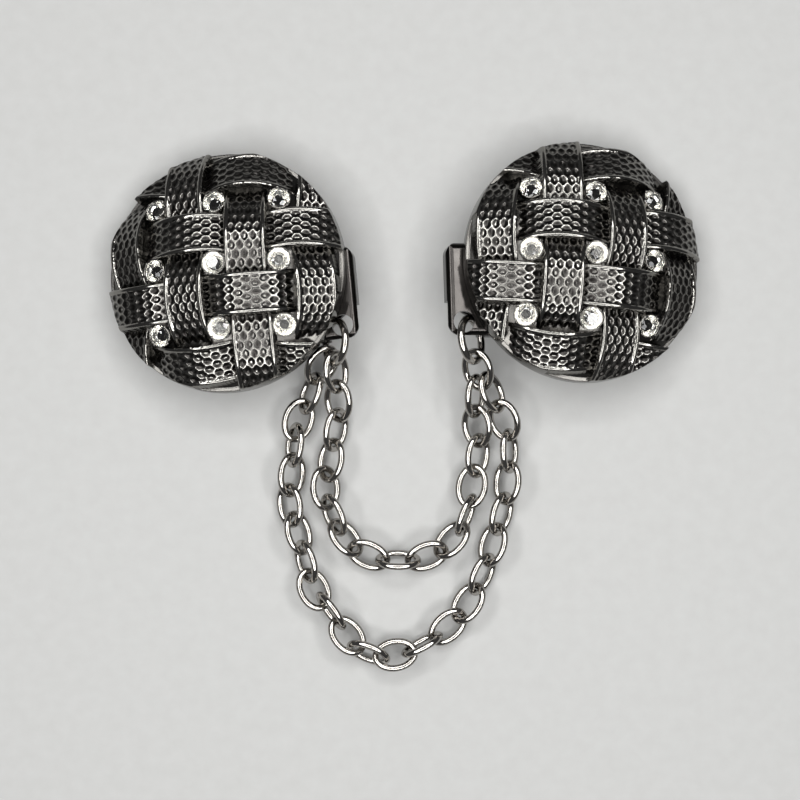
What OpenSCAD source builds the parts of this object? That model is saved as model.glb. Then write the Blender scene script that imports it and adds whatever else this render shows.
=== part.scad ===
/* [Medallion] */
// Radius of a medallion
medal_r = 12.5; // [11:0.5:14]
// Height of the upright rim
rim_h = 2.4; // [2:0.1:3]
// Height of the rim where no strap covers it
edge_h = 1.2; // [1:0.1:1.6]
// Rise of the dome above the rim
crown_h = 4; // [3:0.1:4.5]
// Depth of the spaces between the straps below their crests
weave_depth = 1.2; // [1:0.1:1.6]
// Thickness of the cast wall below those spaces
wall = 1.15; // [0.8:0.05:1.5]
// Depth of the recess for the back disc
recess_h = 0.5; // [0.3:0.1:0.8]
// Width of the wall round that recess
recess_wall = 1; // [0.8:0.1:1.5]

/* [Weave] */
// Distance between the middles of two straps
pitch = 6.75; // [6.4:0.05:7]
// Width of a strap
strap_w = 4.25; // [3.8:0.05:4.8]
// Radius of the arch that a strap makes over its crossing
arch_r = 7.2; // [6.8:0.05:7.8]
// Half of the angle that the arch spans
arch_half = 42; // [38:1:46]
// Width of the raised border of a strap
border_w = 0.35; // [0.25:0.05:0.5]
// Height of that border
border_h = 0.12; // [0.08:0.02:0.2]
// Thickness of a strap below its border
strap_t = 1.3; // [1:0.1:1.6]

/* [Stones] */
// Radius of a stone at its girdle
stone_r = 1.1; // [0.9:0.05:1.25]
// Height of the crown above the girdle
stone_crown = 0.36; // [0.25:0.02:0.45]
// Height of the girdle band
stone_girdle = 0.1; // [0.06:0.02:0.16]
// Depth of the pavilion below the girdle
stone_pavilion = 0.9; // [0.7:0.05:1]
// Radius of the table
table_r = 0.62; // [0.5:0.02:0.75]
// Depth of the girdle below the crests of the weave
stone_sink = 0.55; // [0.4:0.05:0.8]
// Gap round a stone in its seat
stone_gap = 0.06; // [0.04:0.01:0.1]
// Thickness of the seat's wall
seat_wall = 0.22; // [0.18:0.02:0.3]
// Radius of the bead on a prong
bead_r = 0.24; // [0.2:0.02:0.28]

/* [Clip] */
// Thickness of the clip's sheet
sheet = 0.5; // [0.4:0.05:0.6]
// Width of the clip plate
clip_w = 9.6; // [9:0.1:10.4]
// Length of the clip plate from the hidden end to the chain end
clip_len = 18.5; // [17.5:0.5:19.5]
// Radius of the plate's corners
clip_corner = 1.2; // [0.8:0.1:1.6]
// Depth of the turned-down edges
flange_h = 1.7; // [1.3:0.1:2]
// Outer radius of the bends
bend_r = 0.7; // [0.55:0.05:0.9]
// Radius of the hinge pin
pin_r = 0.5; // [0.4:0.05:0.6]
// Depth of the pin's axis below the medallion's back
pin_depth = 2.1; // [2:0.05:2.3]
// Distance from the pin to the chain end of the plate
pin_in = 8.4; // [8:0.1:9]
// Radius of the base's hinge ears
ear_r = 1.1; // [1:0.05:1.2]
// Radial gap of the lever on the pin
pin_gap = 0.05; // [0.03:0.01:0.08]
// Radial gap of the pin in the base's ears
pin_seat_gap = 0.02; // [0.01:0.01:0.04]
// Gap between the ears of the lever and those of the base
ear_gap = 0.15; // [0.1:0.05:0.25]
// Length of the lever from the pin to the jaw's tip
jaw_len = 8.6; // [8:0.1:9]
// Length of the lever from the pin to the end of the press tab
tab_len = 6.8; // [6:0.1:7]
// Width of the press tab
tab_w = 4.4; // [4:0.2:5]
// Length of a spring leg from the pin
leg_len = 3.4; // [3:0.1:3.8]
// Number of teeth on the jaw
teeth = 7; // [5:1:8]

/* [Chain] */
// Thickness of a link's wire
link_wire = 0.62; // [0.5:0.02:0.64]
// Outer length of a link
link_len = 4.85; // [4.75:0.05:5]
// Outer width of a link
link_w = 3.55; // [3.4:0.05:3.7]
// Thickness of a jump ring's wire
ring_wire = 0.75; // [0.6:0.05:0.8]
// Radius of a jump ring's middle line
ring_r = 2.2; // [2.1:0.05:2.3]
// Radius of the hole that a jump ring passes through
ring_hole_r = 1.1; // [1:0.05:1.15]
// Room without a turned-down edge beside that hole
ring_room = 2.2; // [2:0.1:2.6]

/* [Colours] */
// Colour of the plated metal
metal = "#2c2a29";
// Colour of the stones
crystal = "#dfe6ee";

/* [Hidden] */
$fn = 48;
sides = ["left", "right"];
stone_count = 9;

// Where each medallion lies: middle of its back, lean away from level, compass of the lean, spin
poses = [[-17.69, 13.03, 13.93, 144.6, 3.95], [18.57, 14.09, 14.83, 31.1, -3.78]];
// How each clip sits under its medallion: reach of its chain end, shift across, turn
clip_seats = [[13.2, -3.43, 2.3], [13.9, -2.72, -4.6]];
// How each jump ring hangs from its hole: swing, droop, roll
ring_hangs = [[-32, 30, 42], [-29, 21, 44]];
// The hole's distance from the plate's chain end and from its middle
hole_in = 1.6;
hole_across = 3.45;
// Where the ring stands in its hole
ring_off = [-0.1, 0.15];
// Middle of the whole thing on the surface that it lies on
middle = [0.49, -0.78, 0];

// The route of each strand: the middle of each link and its roll about the strand
shared_link = [8, 3.1, 4.6, 30];
inner_route = [
    [7.8, 0.4, 3.4, -55], [8, -2.7, 2.3, 30], [8.1, -5.8, 1.6, -45], [7.5, -9, 1.6, 20],
    [6.9, -12, 1.8, -70], [5.4, -14.6, 1.6, 40], [2.8, -16.3, 1.5, -30],
    [-0.2, -16.7, 1.6, 65], [-3.3, -16.2, 1.5, -30], [-5.7, -14.4, 1.5, 45],
    [-6.9, -12, 1.8, -55], [-7.8, -9.2, 1.5, 30], [-7.2, -6.3, 1.5, -40],
    [-6.7, -3.1, 1.6, 50], [-6.4, -0.1, 2.6, -35], [-6.6, 2.9, 3.9, 45]];
outer_route = [
    [9.5, 0.8, 3.6, -47], [10.8, -2.1, 2.6, 25], [11.4, -5.3, 1.8, -60], [11.2, -8.6, 1.7, 40],
    [10.6, -11.9, 1.5, -50], [9.7, -15.1, 1.5, 40], [8.6, -18.2, 1.5, -50],
    [7.1, -21.2, 1.5, 35], [5, -23.7, 1.4, -25], [2.3, -25.5, 1.6, 80], [-0.5, -26.6, 1.6, 20],
    [-3.3, -26.4, 1.5, -55], [-5.5, -24.6, 1.6, 25], [-7.2, -22, 1.8, -70],
    [-9, -19.8, 1.4, 20], [-9.8, -16.9, 1.6, -55], [-10.6, -13.9, 1.5, 45],
    [-11.5, -11, 1.5, -40], [-11.3, -7.8, 1.5, 40], [-11, -4.7, 1.7, -60],
    [-10.6, -2.1, 1.5, 20], [-9.3, 0.7, 2, -55], [-8.1, 3.6, 3.1, 30]];
// Sideways places of the two strands on the shared link and on the left jump ring
share_side = 0.38;
share_reach = 1.05;
hook_side = 0.5;

// The foot of the upright rim, a little inside the medallion's full radius
foot_r = medal_r - 0.05;

// Points and directions
function turn_x(p, a) = [p.x, p.y * cos(a) - p.z * sin(a), p.y * sin(a) + p.z * cos(a)];
function turn_y(p, a) = [p.x * cos(a) + p.z * sin(a), p.y, p.z * cos(a) - p.x * sin(a)];
function turn_z(p, a) = [p.x * cos(a) - p.y * sin(a), p.x * sin(a) + p.y * cos(a), p.z];
function unit(v) = v / norm(v);
function flip(p, s) = [s == 0 ? p.x : -p.x, p.y, p.z];
function in_place(p, q) =
    [q[0], q[1], foot_r * sin(q[2])] + turn_z(turn_y(turn_z(p, q[4] - q[3]), q[2]), q[3]);
function on_clip(p, c) = turn_z(p, c[2]) + [0, c[1], 0];
function hole(s) =
    on_clip([clip_seats[s][0] - hole_in + ring_off.x, ring_off.y - hole_across, -sheet / 2], clip_seats[s]);
function hang(p, h) = turn_z(turn_x(turn_y(p, -h[2]), h[1]), h[0]);
function ring_point(s, p) = in_place(flip(hole(s) + hang(p, ring_hangs[s]), s), poses[s]);

module at_medallion(s) {
    q = poses[s];
    translate([q[0], q[1], foot_r * sin(q[2])] - middle)
        rotate([0, 0, q[3]]) rotate([0, q[2], 0]) rotate([0, 0, q[4] - q[3]])
            children();
}

module at_clip(s) {
    c = clip_seats[s];
    at_medallion(s) mirror([s, 0, 0]) translate([0, c[1], 0]) rotate([0, 0, c[2]])
        translate([c[0], 0, 0]) children();
}

// The dome that the crests of the weave touch
dome_r = (medal_r * medal_r + crown_h * crown_h) / (2 * crown_h);
dome_z = rim_h + crown_h - dome_r;
ground_r = dome_r - weave_depth;
hollow_r = ground_r - wall;
recess_r = medal_r - recess_wall;
grid = 4;

module on_dome(x, y) {
    lean = asin(norm([x, y]) / dome_r);
    compass = atan2(y, x);
    translate([0, 0, dome_z]) rotate([0, 0, compass]) rotate([0, lean, 0]) rotate([0, 0, -compass])
        children();
}

module strap() {
    half = strap_w / 2;
    top = arch_r - border_h;
    translate([0, 0, dome_r - arch_r]) rotate([90, 0, 0]) rotate([0, 0, 90 - arch_half])
        rotate_extrude(angle = 2 * arch_half)
            polygon([[arch_r - strap_t, -half], [arch_r, -half], [arch_r, border_w - half],
                [top, border_w - half + border_h], [top, half - border_w - border_h],
                [arch_r, half - border_w], [arch_r, half], [arch_r - strap_t, half]]);
}

module straps() {
    for (i = [0:grid - 1], j = [0:grid - 1])
        on_dome((i - (grid - 1) / 2) * pitch, (j - (grid - 1) / 2) * pitch)
            rotate([0, 0, (i + j) % 2 == 0 ? 90 : 0])
                strap();
}

module at_stones() {
    for (i = [-1:1], j = [-1:1])
        on_dome(i * pitch, j * pitch)
            translate([0, 0, dome_r - stone_sink])
                children();
}

// A stone with its girdle's top at z = 0
module stone_shape(grow) {
    r = stone_r + grow;
    cylinder(h = stone_crown, r1 = r, r2 = table_r + grow, $fn = 8);
    translate([0, 0, -stone_girdle]) cylinder(h = stone_girdle, r = r, $fn = 8);
    translate([0, 0, -stone_girdle - stone_pavilion])
        cylinder(h = stone_pavilion, r1 = 0.06 + grow, r2 = r, $fn = 8);
}

module seat() {
    depth = weave_depth + wall / 2 - stone_sink;
    translate([0, 0, -depth]) cylinder(h = depth - stone_girdle / 2, r = stone_r + stone_gap + seat_wall);
    for (a = [45:90:315])
        rotate([0, 0, a]) translate([stone_r + stone_gap + seat_wall / 2, 0, 0]) sphere(r = bead_r);
}

module seat_cut() {
    bore = stone_r + stone_gap;
    translate([0, 0, -stone_girdle - stone_gap]) cylinder(h = weave_depth, r = bore);
    translate([0, 0, -stone_girdle - stone_gap - stone_pavilion])
        cylinder(h = stone_pavilion, r1 = 0.16, r2 = bore);
}

module medallion() {
    difference() {
        intersection() {
            cylinder(h = rim_h + crown_h + 1, r = medal_r);
            union() {
                intersection() {
                    translate([0, 0, dome_z]) sphere(r = ground_r, $fn = 96);
                    cylinder(h = rim_h + crown_h, r = foot_r);
                }
                cylinder(h = edge_h, r = foot_r);
                straps();
                at_stones() seat();
            }
        }
        at_stones() seat_cut();
        intersection() {
            translate([0, 0, dome_z]) sphere(r = hollow_r, $fn = 96);
            translate([0, 0, recess_h]) cylinder(h = rim_h + crown_h, r = medal_r);
        }
        translate([0, 0, -1]) cylinder(h = 1 + recess_h, r = recess_r);
    }
}

module stone(k) {
    i = (k - 1) % 3 - 1;
    j = 1 - floor((k - 1) / 3);
    on_dome(i * pitch, j * pitch)
        translate([0, 0, dome_r - stone_sink])
            rotate([0, 0, 22.5]) stone_shape(0);
}

// The clip's frame: x = 0 at the chain end, y across, z = 0 at the medallion's back
module plan(x0, w, c) {
    translate([x0, c - w / 2]) square([-x0, w - 2 * c]);
    translate([x0 + c, -w / 2]) square([-x0 - 2 * c, w]);
    for (x = [x0 + c, -c], y = [c - w / 2, w / 2 - c])
        translate([x, y]) circle(r = c);
}

// What rounds a top edge off, for an edge along x with the metal on its +y side
module bend_cut(length) {
    rotate([90, 0, 90])
        linear_extrude(length, center = true)
            difference() {
                translate([-0.3, -bend_r]) square(bend_r + 0.3);
                translate([bend_r, -bend_r]) circle(r = bend_r);
            }
}

// Sheet metal standing along x, drawn in the x z plane round the pin's axis
module upright(y) {
    translate([-pin_in, y, -pin_depth]) rotate([90, 0, 0]) linear_extrude(sheet) children();
}

module back_disc(c) {
    translate(turn_z([0, -c[1], 0], -c[2]) - [c[0], 0, 0.1])
        cylinder(h = recess_h + 0.1, r = recess_r - 0.05, $fn = 96);
}

module flanges() {
    half = clip_w / 2;
    low_edge_end = 2 * hole_in;
    intersection() {
        translate([0, 0, -flange_h])
            linear_extrude(flange_h)
                difference() {
                    plan(-clip_len, clip_w, clip_corner);
                    translate([-sheet, 0]) plan(-clip_len, clip_w - 2 * sheet, clip_corner - sheet);
                }
        union() {
            translate([-pin_in, -half, -flange_h]) cube([pin_in - low_edge_end, clip_w, flange_h]);
            translate([-low_edge_end, -hole_across + ring_room, -flange_h])
                cube([low_edge_end, clip_w, flange_h]);
        }
    }
}

module clip_base(c) {
    half = clip_w / 2;
    difference() {
        union() {
            translate([0, 0, -sheet]) linear_extrude(sheet) plan(-clip_len, clip_w, clip_corner);
            flanges();
            for (y = [sheet - half, half])
                upright(y) {
                    circle(r = ear_r);
                    translate([-ear_r, 0]) square([2 * ear_r, pin_depth - sheet / 2]);
                }
            back_disc(c);
        }
        for (m = [0, 1])
            mirror([0, m, 0]) translate([-clip_len / 2, -half, 0]) bend_cut(clip_len + 2);
        rotate([0, 0, 90]) bend_cut(clip_w + 2);
        translate([-pin_in, 0, -pin_depth]) rotate([90, 0, 0])
            cylinder(h = clip_w + 2, r = pin_r + pin_seat_gap, center = true);
        translate([-hole_in, -hole_across, -sheet - 1]) cylinder(h = sheet + 2, r = ring_hole_r);
    }
}

module hinge_pin() {
    head_h = sheet / 2;
    length = clip_w + 2 * (head_h + pin_seat_gap);
    translate([-pin_in, 0, -pin_depth]) rotate([90, 0, 0]) {
        cylinder(h = length, r = pin_r, center = true);
        for (m = [0, 1])
            mirror([0, 0, m]) translate([0, 0, length / 2 - head_h]) cylinder(h = head_h, r = pin_r * 1.6);
    }
}

// The lever, seen from the side round the pin's axis: a strip that rises to the jaw and falls to the tab
jaw_top = pin_depth - sheet - 0.85;
strip_top = -pin_r - 0.1;
tab_top = 0.3 - pin_depth - bend_r / 2;
lever_line = [[-jaw_len, jaw_top], [-0.58 * jaw_len, 0.05 - pin_r / 2], [-0.25 * jaw_len, strip_top],
    [0.25 * tab_len, strip_top], [0.6 * tab_len, 0.6 * tab_top + 0.2 * strip_top], [tab_len, tab_top]];
function tab_z(x) = lookup(x, [lever_line[3], lever_line[4]]);
lever_w = clip_w - 2 * (sheet + ear_gap);
window_x = ear_r + 0.2;
coil_half = lever_w / 2 - sheet - 0.25;

module jaw_teeth() {
    step = lever_w / teeth;
    tooth_top = pin_depth - sheet - 0.15;
    translate([-jaw_len, 0, 0]) rotate([90, 0, 90])
        linear_extrude(0.8)
            for (k = [0:teeth - 1])
                translate([(k + 0.5) * step - lever_w / 2, 0])
                    polygon([[-0.4 * step, jaw_top - sheet / 2], [0.4 * step, jaw_top - sheet / 2],
                        [0.4 * step, jaw_top], [0.1 * step, tooth_top], [-0.1 * step, tooth_top],
                        [-0.4 * step, jaw_top]]);
}

module lever_strip() {
    n = len(lever_line);
    low = [for (k = [n - 1:-1:0]) lever_line[k] - [0, sheet]];
    round_r = tab_w / 2;
    intersection() {
        rotate([90, 0, 0]) linear_extrude(lever_w, center = true) polygon(concat(lever_line, low));
        translate([0, 0, -2 * pin_depth]) linear_extrude(4 * pin_depth) {
            translate([-jaw_len, -lever_w / 2]) square([jaw_len + 1.7, lever_w]);
            translate([0, -tab_w / 2]) square([tab_len - round_r, tab_w]);
            translate([tab_len - round_r, 0]) circle(r = round_r);
        }
    }
}

module lever() {
    cheek_r = ear_r - 0.1;
    half = lever_w / 2;
    difference() {
        union() {
            translate([-pin_in, 0, -pin_depth]) {
                lever_strip();
                jaw_teeth();
            }
            for (y = [sheet - half, half])
                upright(y) {
                    circle(r = cheek_r);
                    translate([-cheek_r, strip_top - sheet / 2])
                        square([2 * cheek_r, sheet / 2 - strip_top]);
                }
        }
        translate([-pin_in, 0, -pin_depth]) {
            rotate([90, 0, 0]) cylinder(h = clip_w, r = pin_r + pin_gap, center = true);
            translate([-window_x, -coil_half - 0.15, strip_top - sheet - 0.5])
                cube([2 * window_x, 2 * coil_half + 0.3, sheet + 1]);
        }
    }
}

// Half of the torsion spring: a coil from the outer end inwards, then a straight leg
spring_wire = 0.3;
coil_r = pin_r + spring_wire / 2 + 0.08;
coil_turns = 5;
turn_steps = 10;

function coil_path(side, start) = [for (k = [0:coil_turns * turn_steps])
    let (f = k / (coil_turns * turn_steps), a = start - side * 360 * coil_turns * (1 - f))
    [coil_r * cos(a), side * (coil_half - (coil_half - spring_wire) * f), coil_r * sin(a)]];

// The faces of a skin over rings of n points each, counted from the first ring
function skin(rings, n, closed) = [for (k = [0:rings - (closed ? 1 : 2)], j = [0:n - 1], h = [0, 1])
    let (m = (j + 1) % n, p = k * n, q = (k + 1) % rings * n)
    h == 0 ? [p + j, q + j, q + m] : [p + j, q + m, p + m]];

module sweep(path, r, n) {
    last = len(path) - 1;
    along = [for (k = [0:last]) unit(path[min(k + 1, last)] - path[max(k - 1, 0)])];
    points = [for (k = [0:last], j = [0:n - 1])
        let (t = along[k], u = unit(cross([0, 1, 0], t)), v = cross(t, u))
        path[k] + r * (cos(360 * j / n) * u + sin(360 * j / n) * v)];
    ends = [[for (j = [0:n - 1]) j], [for (j = [n - 1:-1:0]) last * n + j]];
    polyhedron(points, concat(ends, skin(last + 1, n, false)), convexity = 10);
}

module at_pin() {
    translate([-pin_in, 0, -pin_depth]) children();
}

module spring() {
    y = spring_wire;
    top = pin_depth - sheet - spring_wire / 2 - 0.05;
    at_pin() sweep(concat(coil_path(1, 90), [[leg_len - 0.5, y, top], [leg_len, y, top]]), spring_wire / 2, 6);
}

module spring_leg() {
    y = -spring_wire;
    rest = spring_wire / 2 + 0.05;
    at_pin()
        sweep(concat(coil_path(-1, -40), [[1.5, y, strip_top + 0.25], [leg_len, y, tab_z(leg_len) + rest]]),
            spring_wire / 2, 6);
}

module jump_ring(s) {
    h = ring_hangs[s];
    at_medallion(s) mirror([s, 0, 0]) translate(hole(s))
        rotate([0, 0, h[0]]) rotate([h[1], 0, 0]) rotate([0, -h[2], 0])
            translate([0, -ring_r, 0])
                rotate_extrude() translate([ring_r, 0]) circle(r = ring_wire / 2);
}

// A link's middle line is an oval, and its wire is round
link_sides = 14;
wire_sides = 6;

module link() {
    a = (link_len - link_wire) / 2;
    b = (link_w - link_wire) / 2;
    points = [for (k = [0:link_sides - 1], j = [0:wire_sides - 1])
        let (t = 360 * k / link_sides, f = 360 * j / wire_sides, out = unit([b * cos(t), a * sin(t), 0]))
        [a * cos(t), b * sin(t), 0] + link_wire / 2 * (cos(f) * out - [0, 0, sin(f)])];
    polyhedron(points, skin(link_sides, wire_sides, true), convexity = 4);
}

// Links lie no lower than their roll lets them
function rest_z(roll) = link_wire / 2 + (link_w - link_wire) / 2 * abs(sin(roll));
function link_at(row) = [row[0], row[1], max(row[2], rest_z(row[3]))];
function across(t, roll) =
    let (side = unit(cross([0, 0, 1], t))) side * cos(roll) + cross(t, side) * sin(roll);

module place_link(p, t, roll) {
    translate(p - middle) rotate([0, 0, atan2(t.y, t.x)]) rotate([0, -asin(t.z), 0]) rotate([roll, 0, 0])
        link();
}

share_at = link_at(shared_link);
share_dir = unit((link_at(inner_route[0]) + link_at(outer_route[0])) / 2 - ring_point(1, [0, -2 * ring_r, 0]));
function share_hook(side) =
    share_at + share_reach * share_dir + side * share_side * across(share_dir, shared_link[3]);
function ring_hook(side) = ring_point(0, [side * hook_side, -2 * ring_r, 0]);

module strand(route, first, last) {
    at = concat([first], [for (row = route) link_at(row)], [last]);
    for (k = [0:len(route) - 1])
        place_link(at[k + 1], unit(at[k + 2] - at[k]), route[k][3]);
}

module inner_chain() {
    color(metal) {
        place_link(share_at, share_dir, shared_link[3]);
        strand(inner_route, share_hook(-1), ring_hook(1));
    }
}

module outer_chain() {
    color(metal) strand(outer_route, share_hook(1), ring_hook(-1));
}

for (s = [0, 1]) {
    name = sides[s];
    at_medallion(s) color(metal) medallion();
    for (k = [1:stone_count])
        at_medallion(s) color(crystal) stone(k);
    at_clip(s) color(metal) clip_base(clip_seats[s]);
    at_clip(s) color(metal) hinge_pin();
    at_clip(s) color(metal) lever();
    at_clip(s) color(metal) spring();
    at_clip(s) color(metal) spring_leg();
    color(metal) jump_ring(s);
}
inner_chain();
outer_chain();
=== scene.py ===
import math
import bmesh
import bpy
import numpy as np
from mathutils import Matrix, Vector


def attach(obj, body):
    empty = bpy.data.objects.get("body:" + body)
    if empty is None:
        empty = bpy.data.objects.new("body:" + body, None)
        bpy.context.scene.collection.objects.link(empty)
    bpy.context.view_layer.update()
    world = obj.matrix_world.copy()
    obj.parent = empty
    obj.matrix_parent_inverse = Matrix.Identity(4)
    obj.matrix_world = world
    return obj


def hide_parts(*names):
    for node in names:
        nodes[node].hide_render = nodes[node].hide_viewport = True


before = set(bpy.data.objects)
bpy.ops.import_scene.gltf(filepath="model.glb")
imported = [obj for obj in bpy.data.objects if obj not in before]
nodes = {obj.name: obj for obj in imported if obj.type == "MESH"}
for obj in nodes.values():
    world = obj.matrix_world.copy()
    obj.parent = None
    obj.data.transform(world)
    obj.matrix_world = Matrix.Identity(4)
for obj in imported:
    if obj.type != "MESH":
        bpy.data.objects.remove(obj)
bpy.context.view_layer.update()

mm = 0.001
newPieceBody = "medallions"  # all new pieces ride on it
print("frame loaded,", len(nodes), "nodes")


# Colour and node helpers

def hexToLinear(code):
    # the standard sRGB curve
    values = [int(code[k:k + 2], 16) / 255 for k in (1, 3, 5)]
    linear = [v / 12.92 if v <= 0.04045 else ((v + 0.055) / 1.055) ** 2.4 for v in values]
    return (*linear, 1.0)


def newMaterial(name):
    material = bpy.data.materials.new(name)
    material.use_nodes = True
    return material, material.node_tree, material.node_tree.nodes["Principled BSDF"]


def addNode(tree, kind, settings=None, inputs=None, links=None):
    # settings are the node's own options, inputs are socket values, links join other sockets to it
    node = tree.nodes.new(kind)
    for key, value in (settings or {}).items():
        setattr(node, key, value)
    for key, value in (inputs or {}).items():
        node.inputs[key].default_value = value
    for key, socket in (links or {}).items():
        tree.links.new(socket, node.inputs[key])
    return node


# Materials. Sizes in them are in mm

def makeMedallionPlate():
    # Zinc casting, polished and plated with black nickel: a dark mirror, duller in its hollows, and blacker
    # there by painted shade
    values = {
        "bright": "#7f7d79",
        # the dark colour of the painted shade
        "paintedShade": "#1a1817",
        "roughBright": 0.07,
        "roughHollow": 0.25,
        "polishMark": 0.12,  # spacing of the soft polishing marks
        "markStrength": 0.12,
        "markHeight": 0.01,
        "cloud": 2.5,  # width of the cloudy patches that tumbling leaves
        "cloudRoughness": 0.08,
    }
    material, tree, shader = newMaterial("black nickel plated zinc")
    place = addNode(tree, "ShaderNodeTexCoord")
    # this attribute holds painted shade: how far the colour is darkened in the pits, on the ground and at
    # the strap ends
    low = addNode(tree, "ShaderNodeAttribute", {"attribute_name": "paintedShade"})
    clouds = addNode(tree, "ShaderNodeTexNoise", {"noise_dimensions": "3D"},
                     {"Scale": 1 / (values["cloud"] * mm), "Detail": 3.0},
                     {"Vector": place.outputs["Object"]})
    marks = addNode(tree, "ShaderNodeTexNoise", {"noise_dimensions": "3D"},
                    {"Scale": 1 / (values["polishMark"] * mm), "Detail": 2.0},
                    {"Vector": place.outputs["Object"]})
    # painted shade: the colour is mixed towards the dark tone as far as the attribute says
    colour = addNode(tree, "ShaderNodeMix", {"data_type": "RGBA"},
                     {6: hexToLinear(values["bright"]), 7: hexToLinear(values["paintedShade"])},
                     {0: low.outputs["Fac"]})
    tree.links.new(colour.outputs[2], shader.inputs["Base Color"])
    rough = addNode(tree, "ShaderNodeMapRange", None,
                    {"To Min": values["roughBright"], "To Max": values["roughHollow"]},
                    {"Value": low.outputs["Fac"]})
    cloudy = addNode(tree, "ShaderNodeMath", {"operation": "MULTIPLY_ADD"}, {1: values["cloudRoughness"]},
                     {0: clouds.outputs["Fac"], 2: rough.outputs["Result"]})
    tree.links.new(cloudy.outputs[0], shader.inputs["Roughness"])
    bump = addNode(tree, "ShaderNodeBump", None,
                   {"Strength": values["markStrength"], "Distance": values["markHeight"] * mm},
                   {"Height": marks.outputs["Fac"]})
    tree.links.new(bump.outputs["Normal"], shader.inputs["Normal"])
    shader.inputs["Metallic"].default_value = 1.0
    return material


def makePlatedMetal(name, values):
    # Drawn or pressed steel under the same black nickel: a smooth dark mirror with fine draw marks
    material, tree, shader = newMaterial(name)
    place = addNode(tree, "ShaderNodeTexCoord")
    wear = addNode(tree, "ShaderNodeTexNoise", {"noise_dimensions": "3D"},
                   {"Scale": 1 / (values["wearSize"] * mm), "Detail": 4.0},
                   {"Vector": place.outputs["Object"]})
    marks = addNode(tree, "ShaderNodeTexNoise", {"noise_dimensions": "3D"},
                    {"Scale": 1 / (values["markSize"] * mm), "Detail": 2.0},
                    {"Vector": place.outputs["Object"]})
    colour = addNode(tree, "ShaderNodeMix", {"data_type": "RGBA"},
                     {6: hexToLinear(values["bright"]), 7: hexToLinear(values["worn"])},
                     {0: wear.outputs["Fac"]})
    tree.links.new(colour.outputs[2], shader.inputs["Base Color"])
    rough = addNode(tree, "ShaderNodeMapRange", None,
                    {"To Min": values["roughLow"], "To Max": values["roughHigh"]},
                    {"Value": wear.outputs["Fac"]})
    tree.links.new(rough.outputs["Result"], shader.inputs["Roughness"])
    bump = addNode(tree, "ShaderNodeBump", None,
                   {"Strength": values["markStrength"], "Distance": values["markHeight"] * mm},
                   {"Height": marks.outputs["Fac"]})
    tree.links.new(bump.outputs["Normal"], shader.inputs["Normal"])
    shader.inputs["Metallic"].default_value = 1.0
    return material


def makeCrystal():
    # Cut and polished lead crystal: clear, bright and smooth on its facets
    values = {"tint": "#f7fafc", "rough": 0.0, "ior": 1.56}
    material, tree, shader = newMaterial("cut lead crystal")
    shader.inputs["Base Color"].default_value = hexToLinear(values["tint"])
    shader.inputs["Roughness"].default_value = values["rough"]
    shader.inputs["IOR"].default_value = values["ior"]
    shader.inputs["Transmission Weight"].default_value = 1.0
    return material


def makeFoil():
    # Silvered foil on the back of a stone: a slightly crinkled bright mirror, its crinkles 0.5 mm apart
    values = {"tone": "#f2efe8", "crinkle": 0.5, "roughLow": 0.1, "roughHigh": 0.2}
    material, tree, shader = newMaterial("silver foil backing")
    place = addNode(tree, "ShaderNodeTexCoord")
    crinkle = addNode(tree, "ShaderNodeTexNoise", {"noise_dimensions": "3D"},
                      {"Scale": 1 / (values["crinkle"] * mm), "Detail": 1.0},
                      {"Vector": place.outputs["Object"]})
    rough = addNode(tree, "ShaderNodeMapRange", None,
                    {"To Min": values["roughLow"], "To Max": values["roughHigh"]},
                    {"Value": crinkle.outputs["Fac"]})
    tree.links.new(rough.outputs["Result"], shader.inputs["Roughness"])
    shader.inputs["Base Color"].default_value = hexToLinear(values["tone"])
    shader.inputs["Metallic"].default_value = 1.0
    return material


def makePaper():
    # Matt paper under the clip: pale, with a barely visible fibre mottle about 1.5 mm across
    values = {"low": "#9c9c9a", "high": "#a4a4a3", "fibre": 1.5, "rough": 0.9}
    material, tree, shader = newMaterial("matt paper")
    place = addNode(tree, "ShaderNodeTexCoord")
    fibre = addNode(tree, "ShaderNodeTexNoise", {"noise_dimensions": "3D"},
                    {"Scale": 1 / (values["fibre"] * mm), "Detail": 6.0},
                    {"Vector": place.outputs["Object"]})
    colour = addNode(tree, "ShaderNodeMix", {"data_type": "RGBA"},
                     {6: hexToLinear(values["low"]), 7: hexToLinear(values["high"])},
                     {0: fibre.outputs["Fac"]})
    tree.links.new(colour.outputs[2], shader.inputs["Base Color"])
    shader.inputs["Roughness"].default_value = values["rough"]
    return material


platedZinc = makeMedallionPlate()
platedWire = makePlatedMetal("black nickel plated wire", {
    "bright": "#b5b2ad",
    "worn": "#908c87",
    "roughLow": 0.05,
    "roughHigh": 0.12,
    "wearSize": 1.2,
    "markSize": 0.1,
    "markStrength": 0.1,
    "markHeight": 0.003,
})
platedSheet = makePlatedMetal("black nickel plated sheet steel", {
    "bright": "#3c3a38",
    "worn": "#2d2b2a",
    "roughLow": 0.1,
    "roughHigh": 0.24,
    "wearSize": 2.0,
    "markSize": 0.15,
    "markStrength": 0.1,
    "markHeight": 0.003,
})
springSteel = makePlatedMetal("blued spring steel", {
    "bright": "#77736e",
    "worn": "#55514d",
    "roughLow": 0.15,
    "roughHigh": 0.28,
    "wearSize": 1.0,
    "markSize": 0.1,
    "markStrength": 0.1,
    "markHeight": 0.003,
})
crystal = makeCrystal()
foil = makeFoil()
print("materials made")


def addTo(target, part):
    # one bmesh joins another
    mesh = bpy.data.meshes.new("part")
    part.to_mesh(mesh)
    part.free()
    target.from_mesh(mesh)
    bpy.data.meshes.remove(mesh)


def toMesh(name, bm):
    mesh = bpy.data.meshes.new(name)
    bm.to_mesh(mesh)
    bm.free()
    return mesh


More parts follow.
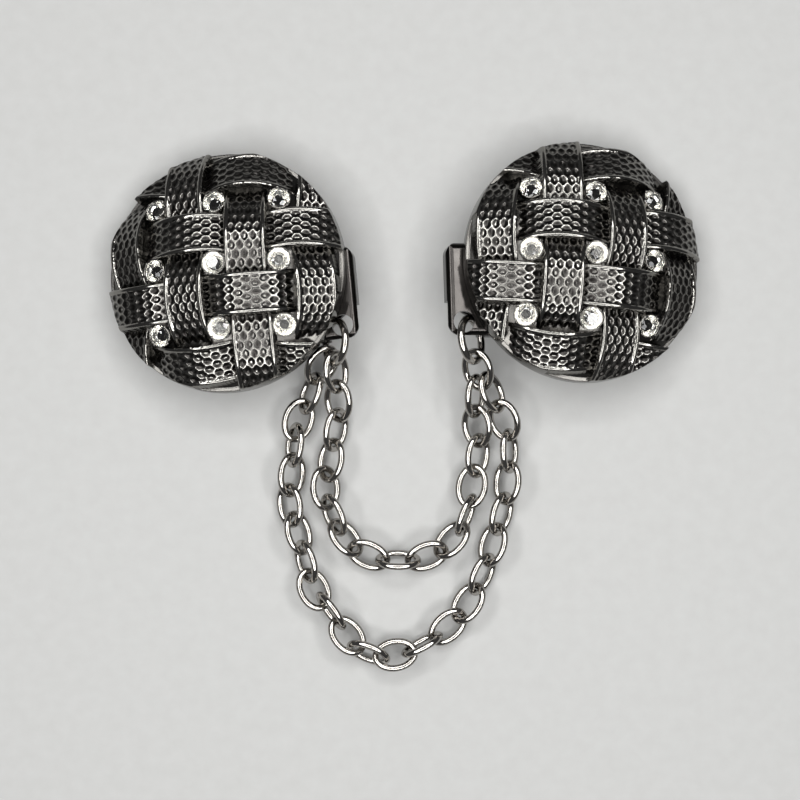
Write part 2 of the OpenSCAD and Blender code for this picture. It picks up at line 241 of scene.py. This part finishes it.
def finishPiece(name, mesh, material, replaced, sharp=None):
    # sharp is the angle in degrees from which an edge shows as a crease
    mesh.materials.append(material)
    mesh.shade_smooth()
    if sharp is not None:
        mesh.set_sharp_from_angle(angle=math.radians(sharp))
    piece = bpy.data.objects.new(name, mesh)
    bpy.context.scene.collection.objects.link(piece)
    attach(piece, newPieceBody)
    if replaced:
        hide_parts(*replaced)
    return piece


# Medallions: a dome of basket weave, in mm and degrees
medallion = {
    # x, y, lean, the compass way it leans and its own spin
    "places": {"left": (-17.69, 13.03, 13.93, 144.6, 3.95), "right": (18.57, 14.09, 14.83, 31.1, -3.78)},
    "middle": (0.49, -0.78),  # the middle of the whole thing, which is moved to the origin
    "radius": 12.5,
    "footRadius": 12.45,
    "rimHeight": 2.4,
    "edgeHeight": 1.2,  # height of the rim where no strap covers it
    "crownHeight": 4.0,
    "recessRadius": 11.5,
    "recessHeight": 0.5,
    "gridSteps": 290,  # 300 would pass 200,000 triangles
    "crossings": 4,  # in each direction
    "pitch": 6.75,
    "weaveDepth": 1.2,
}
strap = {
    "width": 4.25,
    "archRadius": 7.2,
    "archHalf": 42,
    "archSink": 0.05,  # first guess at how far the strap's face lies inside its arch
    "borderWidth": 0.52,  # the rolled border
    "borderHeight": 0.22,
    "fieldDrop": 0.1,  # the pitted field lies this far below the border
    "pitAcross": 0.88,  # spacing of the pits
    "pitAlong": 0.92,
    "pitRadii": (0.43, 0.58),
    "pitPoint": 1.4,  # 2 gives an oval pit and 1 one with sharp ends
    "pitDepth": 0.15,
    "pitBowl": 1.35,  # higher gives narrower bottoms and broader ridges
    "pitVariation": 0.12,
}
# How far painted shade takes the colour towards that of the hollows, from 0 to 1: in the pits, on the ground
# and at the strap ends, and a little on the wall and the cups
paintedShadeShare = {
    "ground": 0.6,
    "wall": 0.25,
    "cup": 0.1,
    "pitSide": 4.0,  # grows with the depth and falls off again at the bottom
    "pitBottom": 0.8,
    "pits": 0.9,  # share of both together
    "strapEnd": 0.3,
    "endStart": 0.25,  # where on a strap its end begins, as the square of its way along
}
domeRadius = (medallion["radius"] ** 2 + medallion["crownHeight"] ** 2) / (2 * medallion["crownHeight"])
domeHeight = medallion["rimHeight"] + medallion["crownHeight"] - domeRadius


def medallionPlace(side):
    x, y, lean, compass, spin = medallion["places"][side]
    lift = medallion["footRadius"] * math.sin(math.radians(lean))
    shift = Vector((x - medallion["middle"][0], y - medallion["middle"][1], lift)) * mm
    turn = (Matrix.Rotation(math.radians(compass), 4, "Z") @ Matrix.Rotation(math.radians(lean), 4, "Y")
            @ Matrix.Rotation(math.radians(spin - compass), 4, "Z"))
    return Matrix.Translation(shift) @ turn @ Matrix.Scale(mm, 4)


def domeTurn(x, y):
    # turns the top of the dome to the place above x, y
    lean = math.asin(math.hypot(x, y) / domeRadius)
    compass = math.atan2(y, x)
    return (Matrix.Rotation(compass, 4, "Z") @ Matrix.Rotation(lean, 4, "Y")
            @ Matrix.Rotation(-compass, 4, "Z"))


def pitShape(along, across):
    # depth of the staggered pits, 0 on the ridges between them and 1 at a pit's bottom
    best = np.zeros_like(along)
    halfAcross, halfAlong = strap["pitRadii"]
    row = np.round(along / strap["pitAlong"])
    for step in (-1, 0, 1):
        near = row + step
        offset = np.where(near % 2 == 0, 0.5, 0.0) * strap["pitAcross"]
        column = np.round((across - offset) / strap["pitAcross"])
        sideways = across - (column * strap["pitAcross"] + offset)
        reach = (np.abs(sideways / halfAcross) ** strap["pitPoint"]
                 + ((along - near * strap["pitAlong"]) / halfAlong) ** 2)
        # any two uneven numbers make the depth differ from pit to pit
        varied = 1 - strap["pitVariation"] + strap["pitVariation"] * np.sin(near * 5.1 + column * 3.7)
        best = np.maximum(best, np.clip(1 - reach, 0, 1) ** strap["pitBowl"] * varied)
    return best


def strapProfile(along, across):
    # height of a strap's cross-section against its arch, and how much painted shade that place gets
    fromEdge = np.abs(across) - (strap["width"] / 2 - strap["borderWidth"] / 2)
    roll = np.sqrt(np.clip(1 - (fromEdge / (strap["borderWidth"] / 2)) ** 2, 0, 1))
    border = strap["borderHeight"] * (roll - 1)
    pits = pitShape(along, across)
    field = -strap["fieldDrop"] - strap["pitDepth"] * pits
    onBorder = border > field
    # painted shade on the pit walls, falling off a little at the bottom
    tone = np.clip(paintedShadeShare["pitSide"] * pits * (1 - pits) + paintedShadeShare["pitBottom"] * pits, 0, 1)
    return np.where(onBorder, border, field), np.where(onBorder, 0.0, tone)


def crossingSurface(x, y, i, j):
    # height of one crossing's upper strap over each x, y, where it lies, and its painted shade
    shift = (medallion["crossings"] - 1) / 2
    turn = domeTurn((i - shift) * medallion["pitch"], (j - shift) * medallion["pitch"])
    arch, archHalf = strap["archRadius"], math.radians(strap["archHalf"])
    upright = (i + j) % 2 == 0
    axis = turn @ Vector((1, 0, 0) if upright else (0, 1, 0))
    along = turn @ Vector((0, 1, 0) if upright else (1, 0, 0))
    out = turn @ Vector((0, 0, 1))
    start = Vector((0, 0, domeHeight)) + (domeRadius - arch) * out
    # an upright line through x, y is met with the arch, a cylinder about the axis
    qx, qy, qz = x - start.x, y - start.y, -start.z
    qAxis = qx * axis.x + qy * axis.y + qz * axis.z
    px, py, pz = qx - qAxis * axis.x, qy - qAxis * axis.y, qz - qAxis * axis.z
    down = Vector((0, 0, 1)) - axis.z * axis
    a = down.length_squared
    b = px * down.x + py * down.y + pz * down.z
    square = px * px + py * py + pz * pz
    radius = np.full_like(x, arch - strap["archSink"])
    for guess in range(3):  # the profile changes the radius, and three rounds settle it
        inside = b * b - a * (square - radius ** 2)
        z = (-b + np.sqrt(np.maximum(inside, 0))) / a
        across = qAxis + z * axis.z
        u = qx * along.x + qy * along.y + (qz + z) * along.z
        v = qx * out.x + qy * out.y + (qz + z) * out.z
        angle = np.arctan2(u, v)
        profile, tone = strapProfile(arch * angle, across)
        radius = arch + profile
    there = (inside > 0) & (np.abs(across) <= strap["width"] / 2) & (np.abs(angle) <= archHalf)
    # painted shade grows towards a strap's ends, where it dives under its neighbours
    atEnd = np.clip((np.abs(angle) / archHalf) ** 2 - paintedShadeShare["endStart"], 0, 1)
    return z, there, np.clip(paintedShadeShare["pits"] * tone + paintedShadeShare["strapEnd"] * atEnd, 0, 1)


def weaveSurface(x, y):
    groundRadius = domeRadius - medallion["weaveDepth"]
    height = np.maximum(domeHeight + np.sqrt(np.maximum(groundRadius ** 2 - x * x - y * y, 0)),
                        medallion["edgeHeight"])
    # the ground between the straps gets painted shade
    paintedShade = np.full_like(x, paintedShadeShare["ground"])
    for i in range(medallion["crossings"]):
        for j in range(medallion["crossings"]):
            z, there, tone = crossingSurface(x, y, i, j)
            higher = there & (z > height)
            height = np.where(higher, z, height)
            paintedShade = np.where(higher, tone, paintedShade)
    return height, paintedShade


def makeMedallion(side):
    # a square grid is drawn out to a disc and raised to the weave, and its edge is extruded to the back
    foot, radius, recess = medallion["footRadius"], medallion["radius"], medallion["recessRadius"]
    steps = medallion["gridSteps"]
    rings = (  # radius of each extruded ring, with its drop from the weave's edge or its own height
        (foot + 0.03, -0.05, None),
        (radius, -0.16, None),
        (radius, None, 0.7),
        (radius, None, 0.18),
        (radius - 0.06, None, 0.05),
        (radius - 0.2, None, 0.0),
        (recess + 0.06, None, 0.0),
        (recess, None, 0.06),
        (recess, None, medallion["recessHeight"]),
    )
    bm = bmesh.new()
    bmesh.ops.create_grid(bm, x_segments=steps, y_segments=steps, size=1.0)
    rim = [e for e in bm.edges if e.is_boundary]
    layer = bm.verts.layers.int.new("ring")
    for index in range(len(rings)):
        made = bmesh.ops.extrude_edge_only(bm, edges=rim)["geom"]
        for v in made:
            if isinstance(v, bmesh.types.BMVert):
                v[layer] = index + 1
        rim = [e for e in made
               if isinstance(e, bmesh.types.BMEdge) and e.verts[0][layer] == e.verts[1][layer]]
    bmesh.ops.holes_fill(bm, edges=rim)
    mesh = toMesh(side + "_weave", bm)

    count = len(mesh.vertices)
    grid = np.empty(count * 3)
    mesh.vertices.foreach_get("co", grid)
    grid = grid.reshape(-1, 3)
    number = np.empty(count, np.int32)
    mesh.attributes["ring"].data.foreach_get("value", number)
    discX = grid[:, 0] * np.sqrt(1 - grid[:, 1] ** 2 / 2)
    discY = grid[:, 1] * np.sqrt(1 - grid[:, 0] ** 2 / 2)
    x, y = discX * foot, discY * foot
    z, paintedShade = weaveSurface(x, y)
    edge = z.copy()
    for index, (ringRadius, drop, level) in enumerate(rings):
        there = number == index + 1
        x[there], y[there] = discX[there] * ringRadius, discY[there] * ringRadius
        z[there] = edge[there] + drop if level is None else level
        paintedShade[there] = paintedShadeShare["wall"]
    points = np.stack([x, y, z, np.ones_like(x)], 1) @ np.array(medallionPlace(side)).T
    mesh.vertices.foreach_set("co", points[:, :3].ravel())
    tone = mesh.attributes.new("paintedShade", "FLOAT", "POINT")
    tone.data.foreach_set("value", paintedShade.astype(np.float32))
    mesh.attributes.remove(mesh.attributes["ring"])
    mesh.update()
    finishPiece(side + "_woven_medallion", mesh, platedZinc, [side + "_medallion"],
                sharp=75)


# Stones: round brilliants with a foiled back, each in a thin cup with four grains, in mm
stone = {
    "radius": 1.1,
    "table": 0.6,
    "starRadius": 0.86,
    "starHeight": 0.22,
    "crown": 0.36,
    "girdle": 0.1,
    "pavilion": 0.94,
    "ringRadius": 0.55,  # where the pavilion's facets meet, as a share of the radius
    "ringDepth": 0.475,  # and of the pavilion
    "culet": 0.04,
    "sink": 0.55,
    "sameFacet": 0.02,  # faces that meet at less than this, in radians, are one facet
    "foilSlope": -0.1,  # faces that look further down than this are foiled
    "turns": (0.7, 1.3),  # each stone is turned by its place, in radians
}
cup = {
    "inner": 1.11,
    "outer": 1.25,
    "top": 0.05,
    "foot": -0.9,
    "innerBevel": 0.05,
    "outerBevel": (0.06, 0.07),
    "steps": 36,
    "grainWays": (45, 135, 225, 315),
    "grainAt": 1.18,
    "grainLift": 0.02,
    "grainRadius": 0.17,
}


def stonePlace(side, i, j):
    lift = Matrix.Translation((0, 0, domeRadius - stone["sink"]))
    return (medallionPlace(side) @ Matrix.Translation((0, 0, domeHeight))
            @ domeTurn(i * medallion["pitch"], j * medallion["pitch"]) @ lift)


def addCircle(bm, radius, height, turn, segments):
    place = Matrix.Translation((0, 0, height)) @ Matrix.Rotation(turn, 4, "Z")
    bmesh.ops.create_circle(bm, cap_ends=False, segments=segments, radius=radius, matrix=place)


def makeStones(side):
    bm = bmesh.new()
    halfStep = math.pi / 8  # the facets of one row lie between those of the next
    radius, low = stone["radius"], -stone["girdle"]
    for i in (-1, 0, 1):
        for j in (-1, 0, 1):
            spin = Matrix.Rotation(stone["turns"][0] * i + stone["turns"][1] * j, 4, "Z")
            cut = bmesh.new()
            addCircle(cut, stone["table"], stone["crown"], 0, 8)
            addCircle(cut, stone["starRadius"], stone["starHeight"], halfStep, 8)
            addCircle(cut, radius, 0, 0, 16)
            addCircle(cut, radius, low, 0, 16)
            addCircle(cut, stone["ringRadius"] * radius, low - stone["ringDepth"] * stone["pavilion"],
                      halfStep, 8)
            addCircle(cut, stone["culet"], low - stone["pavilion"], 0, 8)
            bmesh.ops.convex_hull(cut, input=cut.verts)
            bmesh.ops.dissolve_limit(cut, angle_limit=stone["sameFacet"], verts=cut.verts, edges=cut.edges)
            for face in cut.faces:
                face.material_index = 1 if face.normal.z < stone["foilSlope"] else 0
            bmesh.ops.transform(cut, matrix=stonePlace(side, i, j) @ spin, verts=cut.verts)
            addTo(bm, cut)
    bmesh.ops.recalc_face_normals(bm, faces=bm.faces)
    name = side + "_cut_stones"
    replaced = ["%s_stone_%d" % (side, k) for k in range(1, 10)]
    made = finishPiece(name, toMesh(name, bm), crystal, replaced, sharp=3)
    made.data.materials.append(foil)


def makeCups(side):
    bm = bmesh.new()
    inner, outer, top, foot = cup["inner"], cup["outer"], cup["top"], cup["foot"]
    bevelIn, (bevelOut, bevelDown) = cup["innerBevel"], cup["outerBevel"]
    section = ((inner, foot), (inner, top - bevelIn), (inner + bevelIn, top), (outer - bevelOut, top),
               (outer, top - bevelDown), (outer, foot))
    for i in (-1, 0, 1):
        for j in (-1, 0, 1):
            wall = bmesh.new()
            corners = [wall.verts.new((r, 0, h)) for r, h in section]
            edges = [wall.edges.new((corners[k], corners[(k + 1) % 6])) for k in range(6)]
            bmesh.ops.spin(wall, geom=corners + edges, axis=(0, 0, 1), cent=(0, 0, 0), angle=2 * math.pi,
                           steps=cup["steps"], use_merge=True)
            for way in cup["grainWays"]:
                angle = math.radians(way)
                spot = (cup["grainAt"] * math.cos(angle), cup["grainAt"] * math.sin(angle), cup["grainLift"])
                bmesh.ops.create_icosphere(wall, subdivisions=2, radius=cup["grainRadius"],
                                           matrix=Matrix.Translation(spot))
            bmesh.ops.transform(wall, matrix=stonePlace(side, i, j), verts=wall.verts)
            addTo(bm, wall)
    bmesh.ops.recalc_face_normals(bm, faces=bm.faces)
    tone = bm.verts.layers.float.new("paintedShade")
    for v in bm.verts:
        v[tone] = paintedShadeShare["cup"]
    name = side + "_stone_cups"
    finishPiece(name, toMesh(name, bm), platedZinc, None, sharp=50)


for side in ("left", "right"):
    makeMedallion(side)
    makeStones(side)
    makeCups(side)
print("medallions and stones made")


# Chain and rings: round wire, laid where the solids lie, in mm
wire = {
    "linkLength": 4.85,
    "linkWidth": 3.55,
    "linkWire": 0.7,
    "ringRadius": 2.2,
    "ringWire": 0.78,
    "steps": 44,
    "sides": 14,
}


def wireOval(halfLong, halfWide, wireRadius):
    # a torus is spun, then its middle line is drawn out to an oval
    spunRadius = 0.2
    bm = bmesh.new()
    turn = Matrix.Translation((1, 0, 0)) @ Matrix.Rotation(math.pi / 2, 4, "X")
    bmesh.ops.create_circle(bm, segments=wire["sides"], radius=spunRadius, matrix=turn)
    bmesh.ops.spin(bm, geom=bm.verts[:] + bm.edges[:], axis=(0, 0, 1), cent=(0, 0, 0), angle=2 * math.pi,
                   steps=wire["steps"], use_merge=True)
    for v in bm.verts:
        angle = math.atan2(v.co.y, v.co.x)
        out = (math.hypot(v.co.x, v.co.y) - 1) / spunRadius * wireRadius
        up = v.co.z / spunRadius * wireRadius
        way = Vector((halfWide * math.cos(angle), halfLong * math.sin(angle), 0)).normalized()
        v.co = Vector((halfLong * math.cos(angle), halfWide * math.sin(angle), up)) + out * way
    bmesh.ops.recalc_face_normals(bm, faces=bm.faces)
    return toMesh("oval", bm)


def islands(node):
    # the loose solids of a node, each as its middle and its two longer axes, longest first
    bm = bmesh.new()
    bm.from_mesh(nodes[node].data)
    bmesh.ops.remove_doubles(bm, verts=bm.verts, dist=0.0005 * mm)  # its triangles come loose
    seen, found = set(), []
    for first in bm.verts:
        if first in seen:
            continue
        group, stack = [], [first]
        seen.add(first)
        while stack:
            v = stack.pop()
            group.append(v.co[:])
            for e in v.link_edges:
                other = e.other_vert(v)
                if other not in seen:
                    seen.add(other)
                    stack.append(other)
        points = np.array(group)
        middle = points.mean(0)
        axes = np.linalg.eigh(np.cov((points - middle).T))[1]
        found.append((middle, axes[:, 2], axes[:, 1]))
    bm.free()
    return found


def placeAt(middle, longAxis, wideAxis):
    flat = np.cross(longAxis, wideAxis)
    turn = Matrix([[longAxis[k], wideAxis[k], flat[k], middle[k]] for k in range(3)] + [[0, 0, 0, 1]])
    return turn @ Matrix.Scale(mm, 4)


def makeWire(name, node, oval):
    bm = bmesh.new()
    for middle, longAxis, wideAxis in islands(node):
        before = len(bm.verts)
        bm.from_mesh(oval)
        bm.verts.ensure_lookup_table()
        bmesh.ops.transform(bm, matrix=placeAt(middle, longAxis, wideAxis), verts=bm.verts[before:])
    finishPiece(name, toMesh(name, bm), platedWire, [node])


linkOval = wireOval((wire["linkLength"] - wire["linkWire"]) / 2, (wire["linkWidth"] - wire["linkWire"]) / 2,
                    wire["linkWire"] / 2)
ringOval = wireOval(wire["ringRadius"], wire["ringRadius"], wire["ringWire"] / 2)
for strand in ("inner", "outer"):
    makeWire(strand + "_strand", strand + "_chain", linkOval)
for side in ("left", "right"):
    makeWire(side + "_wire_ring", side + "_jump_ring", ringOval)
print("chain and rings made")


# The clip's own solids keep their shape and get their finish
clipFinish = {
    "clip_base": platedSheet,
    "hinge_pin": platedSheet,
    "lever": platedSheet,
    "spring": springSteel,
    "spring_leg": springSteel,
}
for side in ("left", "right"):
    for part, finish in clipFinish.items():
        mesh = nodes[side + "_" + part].data
        mesh.materials.clear()
        mesh.materials.append(finish)
print("clips finished")


# Floor, light and camera, in metres
studio = {
    "floorSize": 3.0,
    "cameraAt": (-0.00049, 0.00078, 0.2),
    "lens": 85.5,
    "sensor": 36,
    "nearest": 0.01,
    # rings of panels round the camera light what faces up and leave the steep sides of the pits dark
    "rings": (
        {"radius": 0.145, "count": 12, "panel": (0.074, 0.028), "brightness": 42.0},
        {"radius": 0.08, "count": 8, "panel": (0.06, 0.022), "brightness": 18.0},
        {"radius": 0.038, "count": 6, "panel": (0.034, 0.01), "brightness": 12.0},
    ),
    "worldTone": "#8c8c8e",
    "worldStrength": 0.34,
}
bm = bmesh.new()
bmesh.ops.create_grid(bm, x_segments=1, y_segments=1, size=studio["floorSize"] / 2)
floor = bpy.data.objects.new("floor", toMesh("floor", bm))
floor.data.materials.append(makePaper())
bpy.context.scene.collection.objects.link(floor)

cameraData = bpy.data.cameras.new("camera")
cameraData.lens = studio["lens"]
cameraData.sensor_width = studio["sensor"]
cameraData.clip_start = studio["nearest"]
camera = bpy.data.objects.new("camera", cameraData)
camera.location = studio["cameraAt"]
bpy.context.scene.collection.objects.link(camera)
bpy.context.scene.camera = camera

for ring in studio["rings"]:
    for k in range(ring["count"]):
        angle = 2 * math.pi * k / ring["count"]
        lampData = bpy.data.lights.new("ring light", "AREA")
        lampData.shape = "RECTANGLE"
        lampData.size, lampData.size_y = ring["panel"]
        lampData.energy = ring["brightness"] * ring["panel"][0] * ring["panel"][1]
        lamp = bpy.data.objects.new("ring light", lampData)
        place = Vector((ring["radius"] * math.cos(angle), ring["radius"] * math.sin(angle),
                        studio["cameraAt"][2]))
        aim = (-place).to_track_quat("-Z", "Y")
        lamp.matrix_world = Matrix.Translation(place) @ aim.to_matrix().to_4x4()
        bpy.context.scene.collection.objects.link(lamp)

world = bpy.data.worlds.new("studio")
bpy.context.scene.world = world
world.use_nodes = True
background = world.node_tree.nodes["Background"]
background.inputs["Color"].default_value = hexToLinear(studio["worldTone"])
background.inputs["Strength"].default_value = studio["worldStrength"]
bpy.context.scene.view_settings.view_transform = "Standard"
print("studio made")
